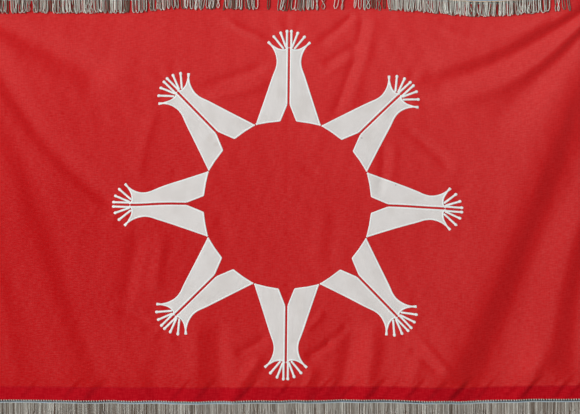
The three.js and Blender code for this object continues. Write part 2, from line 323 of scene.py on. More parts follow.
def noise_on(material, vector, scale, stretch=(1, 1, 1), detail=3.0, roughness=0.5):
    mapping = material.node_tree.nodes.new("ShaderNodeMapping")
    mapping.inputs["Scale"].default_value = stretch
    material.node_tree.links.new(vector, mapping.inputs["Vector"])
    node = material.node_tree.nodes.new("ShaderNodeTexNoise")
    node.inputs["Scale"].default_value = scale
    node.inputs["Detail"].default_value = detail
    node.inputs["Roughness"].default_value = roughness
    material.node_tree.links.new(mapping.outputs["Vector"], node.inputs["Vector"])
    return node.outputs["Fac"]


def mixed(material, share, first, second):
    """A colour that goes from first to second with share. Each is a colour or a socket."""
    node = material.node_tree.nodes.new("ShaderNodeMix")
    node.data_type = "RGBA"
    material.node_tree.links.new(share, node.inputs["Factor"])
    for socket, colour in zip((node.inputs[6], node.inputs[7]), (first, second)):
        if isinstance(colour, bpy.types.NodeSocket):
            material.node_tree.links.new(colour, socket)
        else:
            socket.default_value = (*colour, 1)
    return node.outputs[2]


def raise_surface(material, height, distance, strength=1.0, under=None):
    node = material.node_tree.nodes.new("ShaderNodeBump")
    node.inputs["Distance"].default_value = distance
    node.inputs["Strength"].default_value = strength
    material.node_tree.links.new(height, node.inputs["Height"])
    if under is not None:
        material.node_tree.links.new(under, node.inputs["Normal"])
    return node.outputs["Normal"]


def weave_height(material, vector, pitch):
    """Threads going over and under one another, pitch apart."""
    split = material.node_tree.nodes.new("ShaderNodeSeparateXYZ")
    material.node_tree.links.new(vector, split.inputs[0])
    turns = 2 * math.pi / pitch
    warp = maths(material, "SINE", maths(material, "MULTIPLY", split.outputs["X"], turns))
    weft = maths(material, "SINE", maths(material, "MULTIPLY", split.outputs["Y"], turns))
    return maths(material, "MULTIPLY", warp, weft)


DEEP_RED = (0.520, 0.0060, 0.0080)
FADED_RED = (0.680, 0.0325, 0.0330)
HEM_RED = (0.435, 0.0014, 0.0075)
WORN_HEM_RED = (0.515, 0.0070, 0.0150)
LOOSE_FIBRE = (0.78, 0.46, 0.44)
# Tints for the folds by the way they face: painted shade on faces turned away from the key light, painted
# light on faces turned to it.
PAINTED_FOLD_SHADE = (0.995, 0.62, 0.66)
PAINTED_FOLD_LIGHT = (1.005, 1.32, 1.28)
SLOPE_STEP = 0.004
COTTON_PITCH = 0.0009


def red_cotton():
    """Red that has faded most along the top and to the right, in fine uneven warp and weft. Fold faces that
    turn left, towards the key light, are painted paler and faces turned away deeper: painted light and shade.
    The doubled bottom hem keeps its deeper colour, and the strip under the top fringe takes part of it,
    partly as the doubled top hem and partly as painted shade under the fringe."""
    material, nodes, links, surface = material_named("red_cotton")
    pattern = nodes.new("ShaderNodeUVMap")
    pattern.uv_map = "pattern"
    place = pattern.outputs["UV"]
    split = nodes.new("ShaderNodeSeparateXYZ")
    links.new(place, split.inputs[0])
    across = ramp(material, split.outputs["X"], -0.90, 0.30, 0.08, 0.42)
    up = ramp(material, split.outputs["Y"], -0.75, -0.05, 0.0, 0.50)
    cloudy = ramp(material, noise_on(material, place, 5, detail=4), 0.3, 0.7, -0.06, 0.06)
    weft = ramp(material, noise_on(material, place, 320, (0.14, 1, 1), 1), 0.25, 0.75, -0.15, 0.15)
    warp = ramp(material, noise_on(material, place, 320, (1, 0.12, 1), 1), 0.25, 0.75, -0.12, 0.12)
    fluff = ramp(material, noise_on(material, place, 330, (0.25, 1, 1), 1), 0.30, 0.75, 0.0, 0.029)
    near_hem = ramp(material, split.outputs["Y"], BOTTOM_HEM_LINE + 0.055, BOTTOM_HEM_LINE, 0.0, -0.14)
    fade = maths(material, "ADD", maths(material, "ADD", across, up), cloudy)
    threads = maths(material, "ADD", weft, warp)
    fade = maths(material, "ADD", threads, maths(material, "ADD", fade, near_hem))
    fade.node.use_clamp = True
    colour = mixed(material, fluff, mixed(material, fade, DEEP_RED, FADED_RED), LOOSE_FIBRE)
    # Painted light and shade: the colour is tinted paler where a fold faces the key light on the left and
    # deeper where it faces away.
    slope = nodes.new("ShaderNodeAttribute")
    slope.attribute_name = "slope"
    fold_light_and_shade = nodes.new("ShaderNodeVectorMath")
    fold_light_and_shade.operation = "MULTIPLY"
    links.new(colour, fold_light_and_shade.inputs[0])
    lit_share = ramp(material, slope.outputs["Fac"], -0.20, 0.16)
    links.new(mixed(material, lit_share, PAINTED_FOLD_SHADE, PAINTED_FOLD_LIGHT), fold_light_and_shade.inputs[1])
    colour = fold_light_and_shade.outputs[0]
    hem = ramp(material, split.outputs["Y"], BOTTOM_HEM_LINE + 0.003, BOTTOM_HEM_LINE - 0.003)
    # The strip under the top fringe takes part of the hem's deeper red: partly the doubled top hem, partly
    # painted shade under the fringe.
    hem_tint_and_shade_under_fringe = ramp(material, split.outputs["Y"], TOP_HEM_LINE + 0.002, TOP_HEM_LINE + 0.010, 0, 0.30)
    hem_and_fringe_shade_red = mixed(material, ramp(material, threads, -0.16, 0.22), HEM_RED, WORN_HEM_RED)
    colour = mixed(material, maths(material, "MAXIMUM", hem, hem_tint_and_shade_under_fringe), colour, hem_and_fringe_shade_red)
    links.new(colour, surface.inputs["Base Color"])
    surface.inputs["Roughness"].default_value = 0.9
    surface.inputs["Specular IOR Level"].default_value = 0.06
    yarns = raise_surface(material, weave_height(material, place, COTTON_PITCH), 0.00008, 0.6)
    uneven = noise_on(material, place, 260, (0.5, 1, 1), 2)
    links.new(raise_surface(material, uneven, 0.0003, 0.4, yarns), surface.inputs["Normal"])
    return material


def mark_slopes(mesh):
    """Notes how far each place turns to the left, towards the key light, for the painted light and shade on
    the folds.
    """
    points = np.empty(len(mesh.vertices) * 3)
    mesh.vertices.foreach_get("co", points)
    x, _, z = points.reshape(-1, 3).T
    slopes = (relief(x + SLOPE_STEP, z) - relief(x - SLOPE_STEP, z)) / (2 * SLOPE_STEP)
    mesh.attributes.new("slope", "FLOAT", "POINT").data.foreach_set("value", slopes)


cloth_shape = cut_cloth()
turn_hems(cloth_shape)
cloth_mesh = mesh_from("red_ground_cloth", cloth_shape)
mark_slopes(cloth_mesh)
cloth = add_piece("red_ground_cloth", cloth_mesh, red_cotton())
body = cloth.modifiers.new("cloth thickness", "SOLIDIFY")
body.thickness = CLOTH_THICKNESS
body.offset = 0
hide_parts("cloth")

# The rays: eight split lilies of off-white cotton twill laid in a ring round the plain disc. Each is a pair
# of mirrored leaves, cut out singly and laid on the red ground with a slit between them.
EMBLEM_CENTRE = Vector((0, 0, EMBLEM_Z))
LEAF_DEPTH = -0.00062
LEAF_THICKNESS = 0.0004
LEAF_ACROSS = 10
LEAF_ALONG = 44
SLIT = 0.0036
NOTCH_TOP = 0.302
NOTCH_CORNER = (0.024, 0.251)
FOOT_CORNER = (0.0975, 0.2375)
LEAF_TOP = 0.476
PETAL_TIP = (0.0640, 0.4890)
LEAF_EDGE = [
    FOOT_CORNER, (0.073, 0.311), (0.0495, 0.383), (0.0385, 0.414), (0.0370, 0.438), (0.0455, 0.464),
    PETAL_TIP,
]
LEAF_SCALLOP = [(SLIT, LEAF_TOP), (0.013, 0.468), (0.030, 0.469), (0.046, 0.477), PETAL_TIP]
CORNER_SHARE = 0.3
TWILL_PITCH = 0.0008


def along_line(points, share):
    """The place at a share of the way along a chain of points."""
    spans = [math.dist(a, b) for a, b in zip(points, points[1:])]
    left = share * sum(spans)
    for (a, b), span in zip(zip(points, points[1:]), spans):
        if left <= span or b is points[-1]:
            part = min(left / span, 1)
            return (a[0] + (b[0] - a[0]) * part, a[1] + (b[1] - a[1]) * part)
        left -= span


def smooth_line(points, steps=6):
    """A chain through the points with its corners eased into a curve."""
    eased = [points[0]]
    padded = [points[0], *points, points[-1]]
    for before, a, b, after in zip(padded, padded[1:], padded[2:], padded[3:]):
        for k in range(1, steps + 1):
            t = k / steps
            eased.append(tuple(
                0.5 * (2 * p1 + (p2 - p0) * t + (2 * p0 - 5 * p1 + 4 * p2 - p3) * t ** 2
                       + (3 * p1 - p0 - 3 * p2 + p3) * t ** 3)
                for p0, p1, p2, p3 in zip(before, a, b, after)
            ))
    return eased


slit_line = [(SLIT, NOTCH_TOP), (SLIT, LEAF_TOP)]
notch_line = [(SLIT, NOTCH_TOP), NOTCH_CORNER]
foot_line = [NOTCH_CORNER, (0.062, 0.2455), FOOT_CORNER]
outer_line = smooth_line(LEAF_EDGE)
tip_line = smooth_line(LEAF_SCALLOP)


def leaf_place(u, v):
    """The place on a leaf at u from the slit to its outer edge and v from its foot to its tip."""
    if u <= CORNER_SHARE:
        foot = along_line(notch_line, u / CORNER_SHARE)
    else:
        foot = along_line(foot_line, (u - CORNER_SHARE) / (1 - CORNER_SHARE))
    tip = along_line(tip_line, u)
    left, right = along_line(slit_line, v), along_line(outer_line, v)
    corners = (slit_line[0], outer_line[0], slit_line[1], outer_line[-1])
    return tuple(
        (1 - v) * foot[k] + v * tip[k] + (1 - u) * left[k] + u * right[k]
        - (1 - u) * (1 - v) * corners[0][k] - u * (1 - v) * corners[1][k]
        - (1 - u) * v * corners[2][k] - u * v * corners[3][k]
        for k in (0, 1)
    )


def place_leaf(shape, ray, mirror):
    """Turns what was drawn for the upright right-hand leaf to its own place in the ring."""
    if mirror < 0:
        bmesh.ops.scale(shape, vec=(-1, 1, 1), verts=shape.verts)
        bmesh.ops.reverse_faces(shape, faces=shape.faces)
    turn = Matrix.Rotation(EMBLEM_TURN + ray * 2 * math.pi / RAYS, 3, "Y")
    bmesh.ops.rotate(shape, matrix=turn, verts=shape.verts)
    bmesh.ops.translate(shape, vec=EMBLEM_CENTRE, verts=shape.verts)


def leaf_shape():
    leaf = bmesh.new()
    bmesh.ops.create_grid(leaf, x_segments=LEAF_ACROSS, y_segments=LEAF_ALONG, size=0.5)
    for vert in leaf.verts:
        across, along = leaf_place(vert.co.x + 0.5, vert.co.y + 0.5)
        vert.co = (across, LEAF_DEPTH, along)
    flat_pattern(leaf)
    bmesh.ops.reverse_faces(leaf, faces=leaf.faces)
    return leaf


OFF_WHITE = (0.770, 0.738, 0.715)
SHADED_WHITE = (0.720, 0.684, 0.655)
STAIN_BROWN = (0.42, 0.33, 0.24)
SPECK_GREY = (0.10, 0.08, 0.07)
STAIN_DEPTH = 0.16
STAINS = [(-0.232, -0.433, 0.016), (-0.215, -0.452, 0.010)]
SPECKS = [(0.325, -0.574, 0.0022), (0.223, -0.433, 0.0020)]


def spot(material, place, centre, radius, ragged):
    """1 inside a ragged patch round a centre on the cloth, 0 outside."""
    node = material.node_tree.nodes.new("ShaderNodeVectorMath")
    node.operation = "DISTANCE"
    flat = material.node_tree.nodes.new("ShaderNodeVectorMath")
    flat.operation = "MULTIPLY"
    flat.inputs[1].default_value = (1, 0, 1)
    material.node_tree.links.new(place, flat.inputs[0])
    material.node_tree.links.new(flat.outputs[0], node.inputs[0])
    node.inputs[1].default_value = (centre[0], 0, centre[1])
    reach = maths(material, "MULTIPLY_ADD", ragged, radius)
    reach.node.inputs[2].default_value = radius * 0.5
    return ramp(material, maths(material, "DIVIDE", node.outputs["Value"], reach), 1.0, 0.3)


def white_twill():
    material, nodes, links, surface = material_named("off_white_twill")
    place = nodes.new("ShaderNodeTexCoord").outputs["Object"]
    ragged = noise_on(material, place, 120, detail=3)
    cloudy = ramp(material, noise_on(material, place, 14, detail=4), 0.40, 0.70)
    colour = mixed(material, cloudy, OFF_WHITE, SHADED_WHITE)
    for x, z, radius in STAINS:
        patch = maths(material, "MULTIPLY", spot(material, place, (x, z), radius, ragged), STAIN_DEPTH)
        colour = mixed(material, patch, colour, STAIN_BROWN)
    for x, z, radius in SPECKS:
        colour = mixed(material, spot(material, place, (x, z), radius, ragged), colour, SPECK_GREY)
    links.new(colour, surface.inputs["Base Color"])
    surface.inputs["Roughness"].default_value = 0.75
    surface.inputs["Specular IOR Level"].default_value = 0.3
    pattern = nodes.new("ShaderNodeUVMap")
    pattern.uv_map = "pattern"
    yarns = raise_surface(material, weave_height(material, pattern.outputs["UV"], TWILL_PITCH), 0.00007, 0.6)
    lumps = noise_on(material, place, 55, detail=5, roughness=0.6)
    uneven = raise_surface(material, lumps, 0.0013, 0.6, yarns)
    wrinkles = noise_on(material, pattern.outputs["UV"], 30, (2.2, 0.5, 1), 2)
    links.new(raise_surface(material, wrinkles, 0.0024, 0.5, uneven), surface.inputs["Normal"])
    return material


twill = white_twill()
for ray in range(RAYS):
    for half, mirror in (("left", -1), ("right", 1)):
        shape = leaf_shape()
        place_leaf(shape, ray, mirror)
        name = f"white_leaf_{ray + 1}_{half}"
        leaf = add_piece(name, mesh_from(name, shape), twill)
        thick = leaf.modifiers.new("cloth thickness", "SOLIDIFY")
        thick.thickness = LEAF_THICKNESS
        thick.offset = 0
        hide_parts(f"ray_{ray + 1}_{half}")

# The satin stitching: bright white rayon thread worked close over every cut edge of the leaves, which holds
# them to the ground, and in a fan of stamens at the tip of each ray, three to a leaf. Each run is a low ridge
# of threads, flatter on the back of the cloth.
SATIN_WIDTH = 0.0055
SATIN_HEIGHT = 0.0011
STITCH_PITCH = 0.0012
STITCH_WOBBLE = 0.00022
SATIN_INSET = 0.0021
SATIN_DEPTH = -0.00035
REVERSE_DEPTH = 0.00010
REVERSE_HEIGHT = 0.00055
REVERSE_WIDTH = 0.0046
RIDGE_SIDES = (-1, -0.55, 0.55, 1, 0, -1)
RIDGE_LIFTS = (0.15, 0.9, 0.9, 0.15, 0, 0.15)
STAMEN_WIDTH = 0.0068
STAMEN_TURNS = (21, 40)
STAMEN_START = 0.024
STAMEN_END = 0.076
FAN_FOCUS = (0, 0.450)
ANTHER_WIDTH = 0.0095
ANTHER_LENGTH = 0.0105
BRIGHT_SATIN = (0.91, 0.96, 0.94)
DULL_SATIN = (0.84, 0.90, 0.88)


def fan_place(radius, turn):
    """A place in the fan of stamens, turn degrees away from the slit."""
    angle = math.radians(turn)
    return (FAN_FOCUS[0] + radius * math.sin(angle), FAN_FOCUS[1] + radius * math.cos(angle))


def satin_run(shape, line, width, rng, face):
    """A closed, low, round-topped ridge along a line, each thread a small rib across it. face is -1 on the
    front of the cloth and 1 on its back, where the threads lie flatter."""
    length = sum(math.dist(a, b) for a, b in zip(line, line[1:]))
    ribs = max(8, round(length / STITCH_PITCH) * 2)
    grid = bmesh.ops.create_grid(shape, x_segments=ribs, y_segments=5, size=0.5)["verts"]
    wobble = [rng.uniform(-STITCH_WOBBLE, STITCH_WOBBLE) for _ in range(ribs + 1)]
    for vert in grid:
        along = vert.co.x + 0.5
        rib = round(along * ribs)
        row = round((vert.co.y + 0.5) * 5)
        here, ahead = along_line(line, along), along_line(line, min(along + 0.002, 1))
        behind = along_line(line, max(along - 0.002, 0))
        dx, dz = ahead[0] - behind[0], ahead[1] - behind[1]
        size = math.hypot(dx, dz)
        end = min(along, 1 - along) * length / (width / 2)
        swell = math.sqrt(max(1 - max(1 - end, 0) ** 2, 0))
        height = SATIN_HEIGHT if face < 0 else REVERSE_HEIGHT
        rise = height * RIDGE_LIFTS[row] * swell * (1.0 if rib % 2 else 0.78)
        half = (width / 2 + wobble[rib] * (rib % 2)) * swell
        side = RIDGE_SIDES[row]
        depth = SATIN_DEPTH - rise if face < 0 else REVERSE_DEPTH + rise
        vert.co = (here[0] - dz / size * half * side, depth, here[1] + dx / size * half * side)
    bmesh.ops.remove_doubles(shape, verts=grid, dist=1e-6)


def inset(line, distance):
    """The line moved to its right by a distance, for a run that lies mostly inside a leaf's edge."""
    moved = []
    for i, point in enumerate(line):
        a, b = line[max(i - 1, 0)], line[min(i + 1, len(line) - 1)]
        size = math.dist(a, b)
        right = ((b[1] - a[1]) / size, -(b[0] - a[0]) / size)
        moved.append((point[0] + right[0] * distance, point[1] + right[1] * distance))
    return moved


def satin_thread():
    material, nodes, links, surface = material_named("white_satin_thread")
    place = nodes.new("ShaderNodeTexCoord").outputs["Object"]
    cloudy = ramp(material, noise_on(material, place, 30, detail=3), 0.35, 0.7)
    links.new(mixed(material, cloudy, BRIGHT_SATIN, DULL_SATIN), surface.inputs["Base Color"])
    surface.inputs["Roughness"].default_value = 0.42
    surface.inputs["Specular IOR Level"].default_value = 0.5
    fibres = noise_on(material, place, 900, detail=2)
    links.new(raise_surface(material, fibres, 0.0001, 0.5), surface.inputs["Normal"])
    return material


def sew_round_leaf(stitches, edge_width, rng, face):
    edges = ((slit_line, 1), (notch_line, -1), (foot_line, -1), (outer_line, -1), (tip_line, 1))
    for line, inwards in edges:
        satin_run(stitches, inset(line, inwards * SATIN_INSET), edge_width, rng, face)
    stamens = [[(SLIT + 0.0030, LEAF_TOP - 0.012), (SLIT + 0.0030, 0.527)]]
    stamens += [[fan_place(radius, turn) for radius in (STAMEN_START, STAMEN_END)] for turn in STAMEN_TURNS]
    for start, end in stamens:
        satin_run(stitches, [start, end], STAMEN_WIDTH, rng, face)
        back = Vector(start) - Vector(end)
        anther = Vector(end) + back.normalized() * ANTHER_LENGTH
        satin_run(stitches, [tuple(anther), end], ANTHER_WIDTH, rng, face)


satin = satin_thread()
for ray in range(RAYS):
    for half, mirror in (("left", -1), ("right", 1)):
        rng = random.Random(100 + ray * 2 + (mirror > 0))
        for side, face, edge_width in (("stitches", -1, SATIN_WIDTH), ("reverse", 1, REVERSE_WIDTH)):
            stitches = bmesh.new()
            sew_round_leaf(stitches, edge_width, rng, face)
            bmesh.ops.recalc_face_normals(stitches, faces=stitches.faces)
            place_leaf(stitches, ray, mirror)
            name = f"satin_{side}_{ray + 1}_{half}"
            add_piece(name, mesh_from(name, stitches), satin)

# The headings: narrow woven gimps of blue-grey yarn with a corded edge, which bind the fringe. Each lies
# behind a hem and is overcast to it with pale stitches over the cloth's edge. The top one rolls over to the
# front.
HEADING = 0.009
HEADING_OVERLAP = 0.006
HEADING_FRONT = 0.0021
HEADING_RIBS = [
    (0, 0.9), (0.10, 0.3), (0.20, 0.0), (0.32, 0.3), (0.42, 0.8), (0.52, 0.3), (0.62, 0.0), (0.72, 0.25),
    (0.80, 0.6), (0.86, 0.1), (0.92, -0.3), (0.97, 0.0), (1.0, 0.7),
]
TOP_ROLL = [
    (0.0098, 0.0021), (0.0108, 0.0012), (0.0112, -0.0002), (0.0110, -0.0018), (0.0100, -0.0032),
    (0.0085, -0.0041), (0.0070, -0.0045), (0.0062, -0.0043),
]
TAPE_THICKNESS = 0.0008
TAPE_STEPS = 300
TAPE_PITCH = 0.0014
GIMP_BLUE = (0.390, 0.530, 0.640)
WORN_GIMP = (0.380, 0.450, 0.480)
CORDED_EDGE = (0.640, 0.660, 0.650)
# Dark blue-grey: painted shadow under the bottom hem's edge, and soil where the top tape rolls over.
GIMP_SOIL_AND_SHADE = (0.030, 0.045, 0.070)
STITCH_SPACING = 0.0075
STITCH_RISE = 0.0028
STITCH_RADIUS = 0.00130
STITCH_SLANT = 0.3
STITCH_START = [(-0.0006, -0.0003), (-0.0003, -0.0013), (0.0008, -0.0012), (0.0018, 0.0003)]
PALE_THREAD = (0.84, 0.93, 0.82)
WORN_THREAD = (0.66, 0.76, 0.62)


def flat_heading():
    """How far each rib of the tape lies beyond the cloth's edge, and its depth."""
    return [
        (share * (HEADING + HEADING_OVERLAP) - HEADING_OVERLAP, HEADING_FRONT + depth * 0.001)
        for share, depth in HEADING_RIBS
    ]


def rolled_heading():
    """The same tape where it rolls over to the front along the top."""
    return [place for place in flat_heading() if place[0] < HEADING] + TOP_ROLL


def heading_tape(name, profile, cloth_edge, outwards, node):
    """A ribbed tape from behind the hem to the fringe. outwards is 1 above the cloth and -1 below it."""
    tape = bmesh.new()
    lines = len(profile) - 1
    bmesh.ops.create_grid(tape, x_segments=TAPE_STEPS, y_segments=lines, size=0.5)
    pattern = tape.loops.layers.uv.new("pattern")
    for vert in tape.verts:
        beyond, depth = profile[round((vert.co.y + 0.5) * lines)]
        vert.co = (vert.co.x * CLOTH_WIDTH, depth, cloth_edge + outwards * beyond)
    for face in tape.faces:
        for corner in face.loops:
            corner[pattern].uv = (corner.vert.co.x, corner.vert.co.z + corner.vert.co.y)
    if outwards < 0:
        bmesh.ops.reverse_faces(tape, faces=tape.faces)
    piece = add_piece(name, mesh_from(name, tape), gimp)
    thick = piece.modifiers.new("tape thickness", "SOLIDIFY")
    thick.thickness = TAPE_THICKNESS
    thick.offset = -1
    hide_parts(node)


def woven_gimp():
    """Blue-grey yarn. The bottom tape has a pale cord, and just under the hem's edge a strip darkened in
    patches as painted shadow of the hem. The top one is soiled where it rolls over."""
    material, nodes, links, surface = material_named("blue_grey_gimp")
    pattern = nodes.new("ShaderNodeUVMap")
    pattern.uv_map = "pattern"
    place = pattern.outputs["UV"]
    worn = ramp(material, noise_on(material, place, 25, detail=4), 0.35, 0.7)
    colour = mixed(material, worn, GIMP_BLUE, WORN_GIMP)
    split = nodes.new("ShaderNodeSeparateXYZ")
    links.new(place, split.inputs[0])
    # Painted shadow: a strip of the bottom tape just under the hem's edge is darkened in patches, where the
    # hem's edge shades it.
    shaded = ramp(material, noise_on(material, place, 4, (1, 0.1, 1), 1), 0.42, 0.58, 0.55, 1.0)
    hem_shadow_band = ramp(material, split.outputs["Y"], CLOTH_BOTTOM - 0.0040, CLOTH_BOTTOM - 0.0022)
    at_foot = ramp(material, split.outputs["Y"], -0.3, -0.5)
    shaded = maths(material, "MULTIPLY", maths(material, "MULTIPLY", shaded, hem_shadow_band), at_foot)
    corded = ramp(material, split.outputs["Y"], CLOTH_BOTTOM - 0.0045, CLOTH_BOTTOM - 0.0060, 0.0, 0.75)
    colour = mixed(material, corded, colour, CORDED_EDGE)
    rolled = ramp(material, split.outputs["Y"], CLOTH_TOP + 0.0085, CLOTH_TOP + 0.0105, 0.0, 0.75)
    shaded = maths(material, "MAXIMUM", shaded, rolled)
    colour = mixed(material, shaded, colour, GIMP_SOIL_AND_SHADE)
    links.new(colour, surface.inputs["Base Color"])
    surface.inputs["Roughness"].default_value = 0.7
    threads = weave_height(material, place, TAPE_PITCH)
    links.new(raise_surface(material, threads, 0.0003, 0.8), surface.inputs["Normal"])
    return material


def yarn_mesh(name, runs, radius, sides=1):
    """Round yarn along each run of points, joined as one mesh. Each point's tone goes to the ring round it.
    The rings of the closed ends come first in the mesh, last run first, and then those of the runs."""
    path = bpy.data.curves.new(name, "CURVE")
    path.dimensions = "3D"
    path.bevel_depth = radius
    path.bevel_resolution = sides
    path.use_fill_caps = True
    for points, _ in runs:
        spline = path.splines.new("POLY")
        spline.points.add(len(points) - 1)
        for target, point in zip(spline.points, points):
            target.co = (*point, 1)
    holder = bpy.data.objects.new(name, path)
    mesh = bpy.data.meshes.new_from_object(holder)
    bpy.data.objects.remove(holder)
    bpy.data.curves.remove(path)
    ring = 2 * sides + 4
    values = []
    for _, run_tones in reversed(runs):
        values.extend([run_tones[-1]] * ring + [run_tones[0]] * ring)
    for _, run_tones in runs:
        for tone in run_tones:
            values.extend([tone] * ring)
    mesh.attributes.new("tone", "FLOAT", "POINT").data.foreach_set("value", values)
    return mesh


def worn_thread(name, scale, worn_from, first, second, roughness):
    """Thread of one colour that goes to another in patches where it has worn."""
    material, nodes, links, surface = material_named(name)
    place = nodes.new("ShaderNodeTexCoord").outputs["Object"]
    worn = ramp(material, noise_on(material, place, scale, detail=2), worn_from, 0.7)
    links.new(mixed(material, worn, first, second), surface.inputs["Base Color"])
    surface.inputs["Roughness"].default_value = roughness
    return material


def overcast(name, cloth_edge, outwards):
    """A row of slanting stitches over the cloth's edge, each from the hem's face down to the heading."""
    stitches = round(CLOTH_WIDTH / STITCH_SPACING)
    rng = random.Random(7)
    runs = []
    for k in range(stitches):
        x = -SIDE + STITCH_SPACING * (k + 0.5) + rng.uniform(-0.0004, 0.0004)
        rise = STITCH_RISE * rng.uniform(0.8, 1.1)
        profile = [*STITCH_START, (rise, HEADING_FRONT)]
        points = [(x + STITCH_SLANT * z, depth, cloth_edge + outwards * z) for z, depth in profile]
        runs.append((points, [0.5] * len(points)))
    return add_piece(name, yarn_mesh(name, runs, STITCH_RADIUS), stitch_thread)


gimp = woven_gimp()
stitch_thread = worn_thread("pale_stitching_thread", 60, 0.4, PALE_THREAD, WORN_THREAD, 0.6)
heading_tape("top_heading_gimp", rolled_heading(), CLOTH_TOP, 1, "top_heading")
heading_tape("bottom_heading_gimp", flat_heading(), CLOTH_BOTTOM, -1, "bottom_heading")
top_stitches = overcast("top_overcast_stitches", CLOTH_TOP, 1)
bottom_stitches = overcast("bottom_overcast_stitches", CLOTH_BOTTOM, -1)

# The fringe: 49 mm loops of twisted, tarnished silver-grey yarn, caught in the edge of each heading. The
# bottom one hangs straight. The top one comes out of the roll of its heading, beside a tan binding cord, and
# lies on the front of the cloth. It has lost loops in places.
TOP_STRAND_RADIUS = 0.00122
BOTTOM_STRAND_RADIUS = 0.00118
STRAND_LENGTH = 0.049
# Where loops are lost from the top fringe: middle, half-width, and the share of loops left.
WORN_GAPS = [
    (-0.830, 0.005, 0.2), (-0.769, 0.004, 0.2), (-0.712, 0.003, 0.2), (-0.643, 0.004, 0.2),
    (-0.583, 0.003, 0.2), (-0.469, 0.006, 0.3), (-0.318, 0.006, 0.2), (-0.232, 0.030, 0.8),
    (-0.196, 0.004, 0.2), (-0.112, 0.030, 0.62), (-0.052, 0.032, 0.16), (0.008, 0.027, 0.30),
    (0.127, 0.030, 0.22), (0.187, 0.030, 0.48), (0.247, 0.030, 0.62), (0.290, 0.008, 0.1),
    (0.787, 0.030, 0.62), (0.862, 0.045, 0.22),
]
TOP_TONE_SPREAD = 0.30
BOTTOM_TONE_SPREAD = 0.20
TOP_DEPTH = -0.0034
ROLL_EDGE = -0.0028
ROLL_TUCK = 0.0035
CLOSE_STRETCHES = [(-0.858, -0.480), (0.310, 0.770)]
CROSSED_SHARE = 0.16
# The darkest yarn tone: tarnish, and painted shade where the dark back layers of loops fill the gaps.
DARK_TARNISH_AND_SHADE = (0.140, 0.090, 0.055)
BRIGHT_YARN = (0.860, 0.855, 0.780)
DULL_YARN = (0.245, 0.210, 0.175)


def tarnished_yarn():
    material, nodes, links, surface = material_named("tarnished_silver_yarn")
    place = nodes.new("ShaderNodeTexCoord").outputs["Object"]
    tone = nodes.new("ShaderNodeAttribute")
    tone.attribute_name = "tone"
    colour = mixed(material, tone.outputs["Fac"], DARK_TARNISH_AND_SHADE, BRIGHT_YARN)
    dull = ramp(material, noise_on(material, place, 160, detail=3), 0.4, 0.75, 0, 0.25)
    links.new(mixed(material, dull, colour, DULL_YARN), surface.inputs["Base Color"])
    surface.inputs["Roughness"].default_value = 0.45
    surface.inputs["Metallic"].default_value = 0.35
    surface.inputs["Specular IOR Level"].default_value = 0.5
    split = nodes.new("ShaderNodeSeparateXYZ")
    links.new(place, split.inputs[0])
    down = maths(material, "MULTIPLY", split.outputs["Z"], 3200)
    across = maths(material, "MULTIPLY", split.outputs["X"], 2600)
    slant = maths(material, "ADD", down, across)
    links.new(raise_surface(material, maths(material, "SINE", slant), 0.0002, 0.5), surface.inputs["Normal"])
    return material


def loop_legs(x, gap, length, lean, cross, root, fall):
    """One loop of yarn: down one leg, round the turn and up the other. root and fall give its depths."""
    steps = 5
    legs = []
    for leg in (-1, 1):
        start = x + gap / 2 * leg
        run = [(start, *place) for place in root]
        for k in range(steps):
            share = k / steps
            spread = gap / 2 * leg * (1 - 2 * cross * float(smoothstep(0.25, 0.85, share)))
            run.append((x + spread + lean * share ** 1.5, fall[0] + fall[1] * share * leg, -length * share))
        turn = x + lean + gap * 0.22 * leg * (1 - 2 * cross)
        run.append((turn, fall[0] + fall[1] * leg, -length * 0.985))
        legs.append(run)
    return [*legs[0], *legs[1][::-1]]


def keep_loop(x, rng, close):
    """Whether a loop is left at x. close is true for the layer that only the closest stretches have."""
    if close and not any(start < x < end for start, end in CLOSE_STRETCHES):
        return False
    return all(abs(x - centre) > reach or rng.random() < share for centre, reach, share in WORN_GAPS)


def fringe_loops(
        rng, layers, gaps, length, top_z, root, fall_depth, worn, unevenness, clumping, left_shade, spread):
    """Loops all along a heading, uneven in length, width and lean, with some legs crossed. Each layer has its
    depth, the pitch of its loops, how bright its yarn is, and whether only the close stretches have it; a
    dark back layer stands as painted shade in the gaps. dulled darkens the yarn towards the left end as
    painted shade against the stronger light there, and spread is how far its tones differ."""
    runs = []
    for depth, pitch, bright, close in layers:
        x = -SIDE + 0.004
        clump = 0.0
        while x < SIDE - 0.004:
            x += pitch * rng.uniform(1 - unevenness, 1 + unevenness)
            clump = 0.75 * clump + rng.gauss(0, clumping)
            if worn and not keep_loop(x, rng, close):
                continue
            gap = rng.choice(gaps)
            cross = 1 if rng.random() < CROSSED_SHARE else 0
            reach = length * rng.uniform(0.88, 1.03)
            fall = (fall_depth + depth + rng.uniform(-0.0004, 0.0004), rng.uniform(-0.0006, 0.0006))
            points = loop_legs(x, gap, reach, clump + rng.gauss(0, 0.0012), cross, root, fall)
            points = [(px, py, pz + top_z) for px, py, pz in points]
            # Painted shade: the yarn is darkened towards the left end, where the key light falls stronger.
            tone = bright * (1 - left_shade * (0.5 - x / CLOTH_WIDTH))
            legs = [min(max(rng.gauss(tone, spread), 0), 1) for _ in range(2)]
            half = len(points) // 2
            runs.append((points, [legs[0]] * half + [legs[1]] * (len(points) - half)))
    return runs


yarn = tarnished_yarn()
rng = random.Random(31)
bottom_z = CLOTH_BOTTOM - HEADING + 0.0002
bottom_gaps = (0.0026, 0.0030, 0.0034)
